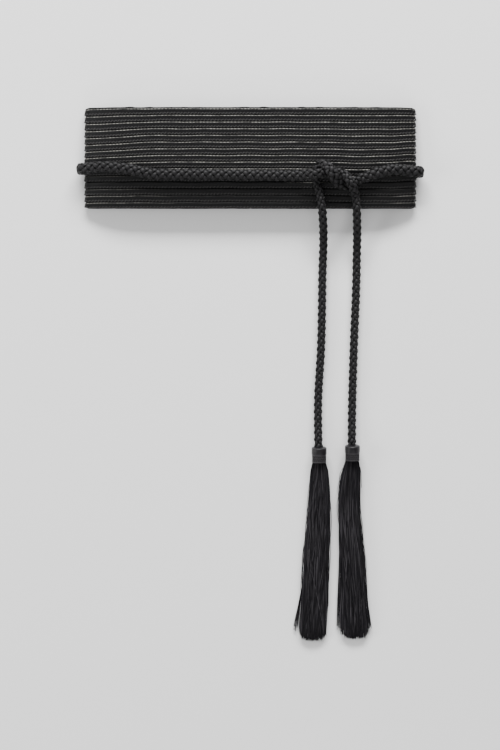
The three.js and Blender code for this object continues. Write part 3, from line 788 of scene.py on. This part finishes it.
def skirt_piece(side, seed):
    draw = np.random.default_rng(seed)
    low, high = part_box(f"tassel_skirt_{side}")
    head_low, head_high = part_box(f"tassel_binding_{side}")
    head_x = (head_low[0] + head_high[0]) / 2 + HEAD_SHIFT
    head_z = (head_low[2] + head_high[2]) / 2
    top = high[1] + INTO_BAND
    length = high[1] - low[1] + LENGTH_ADDED
    outline = np.array(SKIRT_OUTLINES[side])
    # A wisp's place in the skirt's section is an angle and how near the outside; it winds on its way
    angle = draw.uniform(0, 2 * math.pi, (WISP_COUNT, 1))
    out = np.sqrt(draw.uniform(0.08, 1, (WISP_COUNT, 1)))
    wind = draw.normal(0, WIND, (WISP_COUNT, 1))
    swing = draw.uniform(-1, 1, (WISP_COUNT, 4))
    side_end = np.abs(out * np.cos(angle + 0.8 * wind))
    wisp_end = 1 - 0.011 * np.abs(draw.normal(0, 1, (WISP_COUNT, 1))) - 0.045 * side_end**4

    def each(values):
        return np.repeat(values, THREADS_A_WISP, axis=0)

    count = WISP_COUNT * THREADS_A_WISP
    ends = np.minimum(each(wisp_end) - 0.013 * np.abs(draw.normal(0, 1, (count, 1))), 1)
    at = (THREAD_AT**0.9) * ends
    turned_by = each(angle) + each(wind) * (at - 0.1) * smooth(at / 0.15)
    turned_by = turned_by + 0.2 * each(swing[:, :1]) * np.sin(5 * at + 6 * each(swing[:, 1:2]))
    out_at = np.clip(each(out) + 0.12 * each(swing[:, 2:3]) * np.sin(6 * at + 6 * each(swing[:, 3:])), 0, 1)
    across_at = out_at * np.cos(turned_by)
    over_at = out_at * np.sin(turned_by)
    own_angle = draw.uniform(0, 2 * math.pi, (count, 1)) + 9 * at * each(swing[:, :1])
    loosened = 0.9 + 0.9 * smooth((at - 0.75) / 0.25)
    own_out = np.sqrt(draw.uniform(0, 1, (count, 1))) * WISP_RADIUS * loosened
    left_edge = np.interp(at, outline[:, 0], outline[:, 1])
    right_edge = np.interp(at, outline[:, 0], outline[:, 2])
    thick = np.interp(at, outline[:, 0], outline[:, 3])
    half = (right_edge - left_edge) / 2 - 0.5 * MM
    gathered = 1 - smooth(at / 0.05)
    x_free = head_x + (left_edge + right_edge) / 2 + across_at * half + own_out * np.cos(own_angle)
    z_free = (over_at + 1) / 2 * (thick - 2.4 * MM) + 1.2 * MM + own_out * np.sin(own_angle)
    x_head = head_x + across_at * HEAD_HALF_WIDTH + 0.5 * own_out * np.cos(own_angle)
    z_head = head_z + over_at * HEAD_HALF_WIDTH * 0.95
    x = x_free * (1 - gathered) + x_head * gathered
    z = z_free * (1 - gathered) + z_head * gathered
    tip = np.clip((1.004 - THREAD_AT) / 0.03, 0.35, 1)
    radius = THREAD_RADIUS * tip * draw.uniform(0.8, 1.15, (count, 1))
    paths = np.stack([x, top - at * length, np.maximum(z, radius)], axis=-1)

    # Stray threads leave the skirt partway down and bow out to the side
    way = np.where(np.arange(STRAY_COUNT) % 2 == 0, -1.0, 1.0)[:, None]
    leave = draw.uniform(0.02, 0.7, (STRAY_COUNT, 1))
    back = np.clip(leave + draw.uniform(0.12, 0.4, (STRAY_COUNT, 1)), 0, 1.02)
    stray_at = THREAD_AT * np.minimum(back + 0.05, 0.97)
    swell = np.sin(math.pi * np.clip((stray_at - leave) / (back - leave), 0, 1)) ** 1.5
    bow = draw.uniform(0.6, 2.0, (STRAY_COUNT, 1)) * MM * swell
    sets = [(way, stray_at, bow)]
    for lock_way, lock_leave, lock_end, off, threads_in in SKIRT_LOCKS[side]:
        lock_at = THREAD_AT * (lock_end - draw.uniform(0, 0.04, (threads_in, 1)))
        spread = off * np.linspace(0.25, 1, threads_in)[:, None]
        bow = spread * np.clip((lock_at - lock_leave) / (lock_end - lock_leave), 0, 1)
        sets.append((np.full((threads_in, 1), float(lock_way)), lock_at, bow))
    way, stray_at, bow = [np.concatenate(column) for column in zip(*sets)]
    edge = np.interp(stray_at, outline[:, 0], outline[:, 1])
    edge = np.where(way < 0, edge, np.interp(stray_at, outline[:, 0], outline[:, 2]))
    settle = smooth(stray_at / 0.06)
    stray_x = head_x + (edge - way * 0.8 * MM) * settle + way * HEAD_HALF_WIDTH * 0.8 * (1 - settle)
    stray_z = 4 * MM * (1 - 0.5 * np.minimum(bow / (2 * MM), 1)) + head_z * (1 - settle) * 0.4
    stray_paths = np.stack([stray_x + way * (bow + 0.3 * MM), top - stray_at * length, stray_z], axis=-1)
    stray_radius = np.full(stray_at.shape, STRAY_RADIUS)
    tone = np.repeat(np.arange(WISP_COUNT), THREADS_A_WISP) + 0.1 * (np.arange(count) % THREADS_A_WISP)
    tone = np.concatenate([tone, WISP_COUNT + np.arange(len(way))])
    made = threads_of(np.concatenate([paths, stray_paths]), np.concatenate([radius, stray_radius]), tone)
    return new_piece(f"skirt_threads_{side}", made[0], made[1], skirt_material, made[2])


for side, seed in (("left", 11), ("right", 23)):
    skirt = skirt_piece(side, seed)
    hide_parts(f"tassel_skirt_{side}")
    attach(skirt, "root")

# Sash
# One strip of black grosgrain, its 15 rows raised over cords. It goes once round and meets at the
# centre back. The crest of each row runs near its upper side, with a deep crease above the crest.
CLOTH_THICK = 1.1 * MM
CLOTH_BASE = 1.3 * MM
CORD_RELIEF = 1.5 * MM
SEAM_GAP = 0.6 * MM
LEFT_DIP = 3 * MM
DIP_HEIGHT = 12 * MM
DIP_END = -22 * MM
RIGHT_RISE = 1.6 * MM
RIGHT_SAG = 0.9 * MM
SAG_PLACE = 112 * MM
SAG_REACH = 30 * MM
CORNER_PULL = 1.2 * MM
WAVER = 0.07 * MM
RIPPLE = 0.05 * MM
ANY_PHASE = 6.28
# Up one row: place in the pitch, and shares of the cord's relief on the faces and round the folds
ROW_PROFILE = [
    (0.0, 0.51, 0.65),
    (0.07, 0.49, 0.79),
    (0.16, 0.46, 0.9),
    (0.25, 0.53, 0.97),
    (0.38, 0.73, 1.0),
    (0.52, 0.91, 0.96),
    (0.63, 1.0, 0.87),
    (0.71, 0.99, 0.75),
    (0.765, 0.84, 0.64),
    (0.82, 0.45, 0.47),
    (0.88, 0.0, 0.0),
    (0.93, 0.36, 0.44),
    (0.965, 0.5, 0.56),
]


def row_drift(x, height):
    end = np.where(height > DIP_HEIGHT, SASH_TOP, DIP_END)
    sunk = np.maximum(0, 1 - ((height - DIP_HEIGHT) / (end - DIP_HEIGHT)) ** 2)
    left = smooth((-x / FOLD_START - 0.54) / 0.46)
    right = smooth((x / FOLD_START - 0.86) / 0.14)
    inner = 1 - (height / SASH_TOP) ** 2
    sag = RIGHT_SAG * np.exp(-(((x - SAG_PLACE) / SAG_REACH) ** 2))
    return (RIGHT_RISE * right - sag) * inner - LEFT_DIP * left * sunk


# Stations round the loop: side, x and turn, where turn is 90 degrees on the front and -90 on the back
def run(side, start, end, count, turn):
    return [(side, x, turn) for x in np.linspace(start, end, count, endpoint=False)]


stations = (
    run(-1, -SEAM_GAP / 2, -FOLD_START, 40, -math.pi / 2)
    + [(-1, -FOLD_START, math.pi * (i / 12 - 0.5)) for i in range(13)]
    + run(1, -FOLD_START, FOLD_START, 110, math.pi / 2)[1:]
    + [(1, FOLD_START, math.pi * (0.5 - i / 12)) for i in range(13)]
    + run(1, SEAM_GAP / 2, FOLD_START, 40, -math.pi / 2)[::-1][:-1]
    + [(1, SEAM_GAP / 2, -math.pi / 2)]
)
heights = [(-SASH_TOP, 0.3, 0.2)]
for row in range(CORD_ROWS):
    heights += [(-SASH_TOP + (row + p) * CORD_PITCH, face, fold) for p, face, fold in ROW_PROFILE]
# The first row has no crease below it, and the last one has a flat selvedge above its crest
selvedge = [(0.235, 0.66, 0.64), (0.16, 0.6, 0.55), (0.04, 0.6, 0.45), (0.0, 0.6, 0.3)]
heights = [heights[0]] + heights[2:-5] + [(SASH_TOP - up * CORD_PITCH, *shares) for up, *shares in selvedge]

station_side, station_x, station_turn = [np.array(column)[:, None] for column in zip(*stations)]
height, face_relief, fold_relief = [np.array(column)[None, :] for column in zip(*heights)]
turn_out = np.cos(station_turn)
relief = face_relief * (1 - turn_out) + fold_relief * turn_out
corner = CORNER_PULL * turn_out * (height / SASH_TOP) ** 9

# The rows waver a little along the strip
draw = np.random.default_rng(5)
loop_at = np.arange(len(stations))[:, None] / len(stations)
waver = np.zeros((len(stations), height.size))
for _ in range(7):
    waves, tilt, phase = draw.uniform(3, 16), draw.uniform(-20, 20), draw.uniform(0, ANY_PHASE)
    waver = waver + WAVER * np.sin(2 * math.pi * (waves * loop_at + tilt * height) + phase)
cloth_y = height + row_drift(station_x, height) - corner + waver * (1 - 0.6 * (height / SASH_TOP) ** 8)
front = front_inside(station_x, cloth_y)
back = back_inside(station_x, cloth_y)
half_gap = (front - back) / 2
face_x = station_side * turn_out / FOLD_REACH * np.ones_like(half_gap)
face_z = np.sin(station_turn) / half_gap
face_size = np.hypot(face_x, face_z)
face_x, face_z = face_x / face_size, face_z / face_size
ripple = np.zeros_like(cloth_y)
for _ in range(6):
    waves = draw.uniform(8, 60)
    phase = draw.uniform(0, ANY_PHASE, (1, height.size))
    ripple = ripple + RIPPLE * np.sin(2 * math.pi * waves * loop_at + phase)
depth = CLOTH_BASE + CORD_RELIEF * relief + ripple * (relief > 0.4)
cloth = np.stack(
    [
        station_x + station_side * FOLD_REACH * turn_out + face_x * depth,
        cloth_y,
        (front + back) / 2 + half_gap * np.sin(station_turn) + face_z * depth,
    ],
    axis=-1,
)
count_round, count_high = cloth_y.shape
bpy.ops.object.select_all(action="DESELECT")
bpy.ops.mesh.primitive_grid_add(x_subdivisions=count_round - 1, y_subdivisions=count_high - 1, size=1)
sash = bpy.context.object
sash.name = "sash_cloth"
grid = np.empty(len(sash.data.vertices) * 3)
sash.data.vertices.foreach_get("co", grid)
grid = grid.reshape(-1, 3)
column = np.rint((grid[:, 0] + 0.5) * (count_round - 1)).astype(int)
level = np.rint((grid[:, 1] + 0.5) * (count_high - 1)).astype(int)
sash.data.vertices.foreach_set("co", cloth[column, level].ravel())
loop_length = along(cloth[:, 0])
corner_points = np.empty(len(sash.data.loops), dtype=np.int32)
sash.data.loops.foreach_get("vertex_index", corner_points)
cloth_uv = np.stack([loop_length[column] / MM, height[0, level] / MM], axis=1)[corner_points]
sash.data.uv_layers[0].name = "cloth_mm"
sash.data.uv_layers[0].data.foreach_set("uv", cloth_uv.astype(np.float32).ravel())
sash.data.update()
solidify = sash.modifiers.new("cloth", "SOLIDIFY")
solidify.thickness = CLOTH_THICK
solidify.offset = -1
bpy.ops.object.modifier_apply(modifier="cloth")
bpy.ops.object.shade_smooth_by_angle(angle=SMOOTH_ANGLE)

# Where the crests' painted highlight is strong: above the rope, and weak below it but for the lowest cords
# near the two folds and a short length beside the knot
at_point = np.empty(len(sash.data.vertices) * 3)
sash.data.vertices.foreach_get("co", at_point)
point_x, point_y = at_point.reshape(-1, 3)[:, 0], at_point.reshape(-1, 3)[:, 1]
above = smooth((point_y + 24 * MM) / (6 * MM))
low_left = smooth((-point_x / FOLD_START - 0.35) / 0.5) * smooth((-point_y - 28 * MM) / (14 * MM))
low_right = smooth((point_x / FOLD_START - 0.84) / 0.1) * smooth((-point_y - 34 * MM) / (6 * MM))
beside_knot = smooth((point_x - 34 * MM) / (10 * MM)) * smooth((98 * MM - point_x) / (10 * MM))
beside_knot = beside_knot * np.exp(-(((point_y + 26 * MM) / (2.5 * MM)) ** 2))
lit_share = np.maximum.reduce([above, 0.75 * low_left, 0.7 * low_right, 0.7 * beside_knot])
set_share(sash, "painted_crest_light", 0.1 + 0.9 * lit_share)

# Grosgrain: fine ribs across the strip, 0.9 mm apart here so that they show, in a silky dull black.
# A painted highlight, a pale colour with lower roughness, runs along the crests in broken lines, and
# painted shade makes the cords' undersides a little darker than the sewn strip between two cords.
cloth_material, tree, shader = new_material("corded_grosgrain")
shader.inputs["IOR"].default_value = 1.28
cloth_at = add_node(tree, "ShaderNodeUVMap", uv_map="cloth_mm")
apart = add_node(tree, "ShaderNodeSeparateXYZ", {"Vector": cloth_at.outputs[0]})
raised = add_node(tree, "ShaderNodeMath", {0: apart.outputs["Y"], 1: SASH_TOP / MM}, operation="ADD")
rows_up = add_node(tree, "ShaderNodeMath", {0: raised.outputs[0], 1: CORD_PITCH / MM}, operation="DIVIDE")
in_row = add_node(tree, "ShaderNodeMath", {0: rows_up.outputs[0]}, operation="FRACT")
# Painted shade: the cords' undersides are painted darker than the sewn strip, and the creases darkest
sewn, cord, crease = "#171718", "#101011", "#080808"
row_shade_stops = [(0.0, sewn), (0.2, sewn), (0.3, cord), (0.84, cord), (0.9, crease), (0.96, sewn)]
row_painted_shade = ramp(tree, in_row.outputs[0], row_shade_stops)
# Painted highlight: the crest band of each row is mixed towards a pale colour
crest = ramp(
    tree, in_row.outputs[0], [(0.675, "#000000"), (0.712, "#ffffff"), (0.752, "#ffffff"), (0.79, "#000000")]
)
along_row = add_node(tree, "ShaderNodeMapping", {"Vector": cloth_at.outputs[0], "Scale": (0.1, 0.6, 1)})
dashes = add_node(
    tree,
    "ShaderNodeTexNoise",
    {"Vector": along_row.outputs[0], "Scale": 1.0, "Detail": 5.0, "Roughness": 0.7},
)
unbroken = add_node(
    tree,
    "ShaderNodeMapRange",
    {"Value": dashes.outputs["Fac"], "From Min": 0.38, "From Max": 0.56, "To Min": 0.15, "To Max": 1.0},
)
# The crests' painted highlight is broken into dots 3.6 mm apart, in step with the stitching
dots = add_node(
    tree,
    "ShaderNodeTexWave",
    {"Vector": cloth_at.outputs[0], "Scale": 0.0873, "Distortion": 2.0, "Detail": 2.0, "Detail Scale": 0.3},
    bands_direction="X",
)
dotted = add_node(tree, "ShaderNodeMapRange", {"Value": dots.outputs["Fac"], "To Min": 0.25, "To Max": 1.0})
painted_crest_light = add_node(tree, "ShaderNodeAttribute", attribute_name="painted_crest_light")
painted_shine = crest.outputs["Color"]
for share in (unbroken.outputs[0], dotted.outputs[0], painted_crest_light.outputs["Fac"]):
    painted_shine = add_node(tree, "ShaderNodeMath", {0: painted_shine, 1: share}, operation="MULTIPLY").outputs[0]
# Painted glints: this noise makes the cloth's colour lighter in small flecks, and it also feeds the ribs'
# bump
glint_at = add_node(tree, "ShaderNodeMapping", {"Vector": cloth_at.outputs[0], "Scale": (0.55, 1.1, 1)})
glints = add_node(tree, "ShaderNodeTexNoise", {"Vector": glint_at.outputs[0], "Scale": 1.0, "Detail": 3.0})
speckle = ramp(tree, glints.outputs["Fac"], [(0.35, "#a8a8a8"), (0.65, "#ffffff")])
dull = add_node(
    tree,
    "ShaderNodeMix",
    {0: 1.0, 6: row_painted_shade.outputs["Color"], 7: speckle.outputs["Color"]},
    data_type="RGBA",
    blend_type="MULTIPLY",
)
tone = add_node(tree, "ShaderNodeMix", {0: painted_shine, 6: dull.outputs[2]}, data_type="RGBA")
# The pale colour of the crests' painted highlight
tone.inputs[7].default_value = linear("#85837d")
tree.links.new(tone.outputs[2], shader.inputs["Base Color"])
rough = add_node(tree, "ShaderNodeMapRange", {"Value": painted_shine, "To Min": 0.58, "To Max": 0.33})
tree.links.new(rough.outputs[0], shader.inputs["Roughness"])
ribs = add_node(
    tree,
    "ShaderNodeTexWave",
    {"Vector": cloth_at.outputs[0], "Scale": 0.35, "Distortion": 0.8, "Detail": 2.0, "Detail Scale": 2.0},
    bands_direction="X",
)
rib_height = add_node(
    tree, "ShaderNodeMath", {0: ribs.outputs["Fac"], 1: glints.outputs["Fac"]}, operation="ADD"
)
bump = add_node(
    tree, "ShaderNodeBump", {"Height": rib_height.outputs[0], "Strength": 0.3, "Distance": 0.25 * MM}
)
tree.links.new(bump.outputs[0], shader.inputs["Normal"])
sash.data.materials.append(cloth_material)
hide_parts("sash")
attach(sash, "root")

# Stitching
# The strip between two cords is sewn down with a zigzag of the same black thread, so that every row
# carries a line of small slanting stitches along its lower side.
STITCH_STEP = 1.8 * MM
STITCH_PLACES = (-0.05, 0.09, 0.23)
FIRST_STITCH = 1.5 * MM
LAST_STITCH = 3.5 * MM
STITCH_JITTER = 0.12
face = np.stack([face_x, np.zeros_like(face_x), face_z], axis=-1)
stitches = []
draw = np.random.default_rng(8)
for row in range(CORD_ROWS):
    rails = []
    for place in STITCH_PLACES:
        row_height = max(-SASH_TOP + (row + place) * CORD_PITCH, -SASH_TOP + 0.4 * MM)
        level = int(np.searchsorted(height[0], row_height))
        share = (row_height - height[0, level - 1]) / (height[0, level] - height[0, level - 1])
        rails.append(cloth[:, level - 1] * (1 - share) + cloth[:, level] * share)
        out = face[:, level]
    at = along(rails[1])
    places = np.arange(FIRST_STITCH, at[-1] - LAST_STITCH, STITCH_STEP)
    starts = places + draw.uniform(-STITCH_JITTER, STITCH_JITTER, len(places)) * MM
    for leg, start in enumerate(starts):
        rising = leg % 2 == 0
        ends = start + np.array([0.1, 0.5, 0.9]) * STITCH_STEP
        order = rails if rising else rails[::-1]
        path = np.array([[np.interp(e, at, rail[:, i]) for i in range(3)] for e, rail in zip(ends, order)])
        up = unit(np.stack([np.interp(ends, at, out[:, i]) for i in range(3)], axis=1))
        path = path + up * (np.array([0.05, 0.34, 0.05]) * MM)[:, None]
        ahead = unit(np.gradient(path, axis=0))
        sizes = np.array([0.42, 0.66, 0.42]) * MM * (1.0 if rising else 0.5)
        stitches.append(tube(path, np.cross(ahead, up), up, sizes, sizes, 5))
stitch_material, tree, shader = new_material("polished_sewing_thread")
shader.inputs["Roughness"].default_value = 0.42
shader.inputs["IOR"].default_value = 1.35
thread_at = add_node(tree, "ShaderNodeUVMap", uv_map="thread_mm")
wear_at = add_node(tree, "ShaderNodeMapping", {"Vector": thread_at.outputs[0], "Scale": (2.0, 0.8, 1)})
wear = add_node(tree, "ShaderNodeTexNoise", {"Vector": wear_at.outputs[0], "Scale": 1.0, "Detail": 2.0})
# The thread is coloured lighter than the black cloth: a painted highlight for the light the raised stitches
# catch
shade = ramp(tree, wear.outputs["Fac"], [(0.3, "#262526"), (0.7, "#403f3e")])
tree.links.new(shade.outputs["Color"], shader.inputs["Base Color"])
points, faces, uvs = joined(stitches)
stitching = new_piece("sash_stitching", points, faces, stitch_material, uvs)
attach(stitching, "root")

# Back fastening
# A plain hook tape behind the sash's two ends, hidden inside the loop.
tape_material, tree, shader = new_material("plain_cotton_tape")
shader.inputs["Roughness"].default_value = 0.8
place = add_node(tree, "ShaderNodeTexCoord")
grain_at = add_node(
    tree, "ShaderNodeMapping", {"Vector": place.outputs["Object"], "Scale": (1200, 1200, 300)}
)
grain = add_node(tree, "ShaderNodeTexChecker", {"Vector": grain_at.outputs[0], "Scale": 1.0})
grain.inputs["Color1"].default_value = linear("#0c0c0d")
grain.inputs["Color2"].default_value = linear("#161617")
tree.links.new(grain.outputs["Color"], shader.inputs["Base Color"])
tape = bpy.data.objects["back_fastening"]
tape.data.materials.clear()
tape.data.materials.append(tape_material)

# Floor and light
# A pale seamless floor, a broad soft light from beyond the sash's upper edge and a weak even fill.
bpy.ops.object.select_all(action="DESELECT")
bpy.ops.mesh.primitive_plane_add(size=8, location=(0, -0.2, -0.0005))
floor = bpy.context.object
floor.name = "pale_floor"
floor_material, tree, shader = new_material("pale_paper")
shader.inputs["Base Color"].default_value = linear("#f4f4f4")
shader.inputs["Roughness"].default_value = 0.9
floor.data.materials.append(floor_material)

world = bpy.data.worlds.new("soft_studio")
world.use_nodes = True
world.node_tree.nodes["Background"].inputs["Color"].default_value = linear("#ffffff")
world.node_tree.nodes["Background"].inputs["Strength"].default_value = 0.45
bpy.context.scene.world = world


def area_light(name, place, aim, size, power):
    bpy.ops.object.select_all(action="DESELECT")
    bpy.ops.object.light_add(type="AREA", location=place)
    light = bpy.context.object
    light.name = name
    light.data.shape = "RECTANGLE"
    light.data.size, light.data.size_y = size
    light.data.energy = power
    light.rotation_euler = (Vector(aim) - Vector(place)).to_track_quat("-Z", "Y").to_euler()


area_light("key_from_above_the_sash", (0.1, 2.3, 1.4), (0, -0.1, 0), (2.4, 0.8), 210)
area_light("fill_from_the_left", (-2.4, -0.4, 1.3), (0, -0.2, 0), (1.5, 1.0), 40)
area_light("fill_from_below_the_sash", (0.3, -2.5, 1.2), (0, -0.1, 0), (2.0, 0.8), 22)
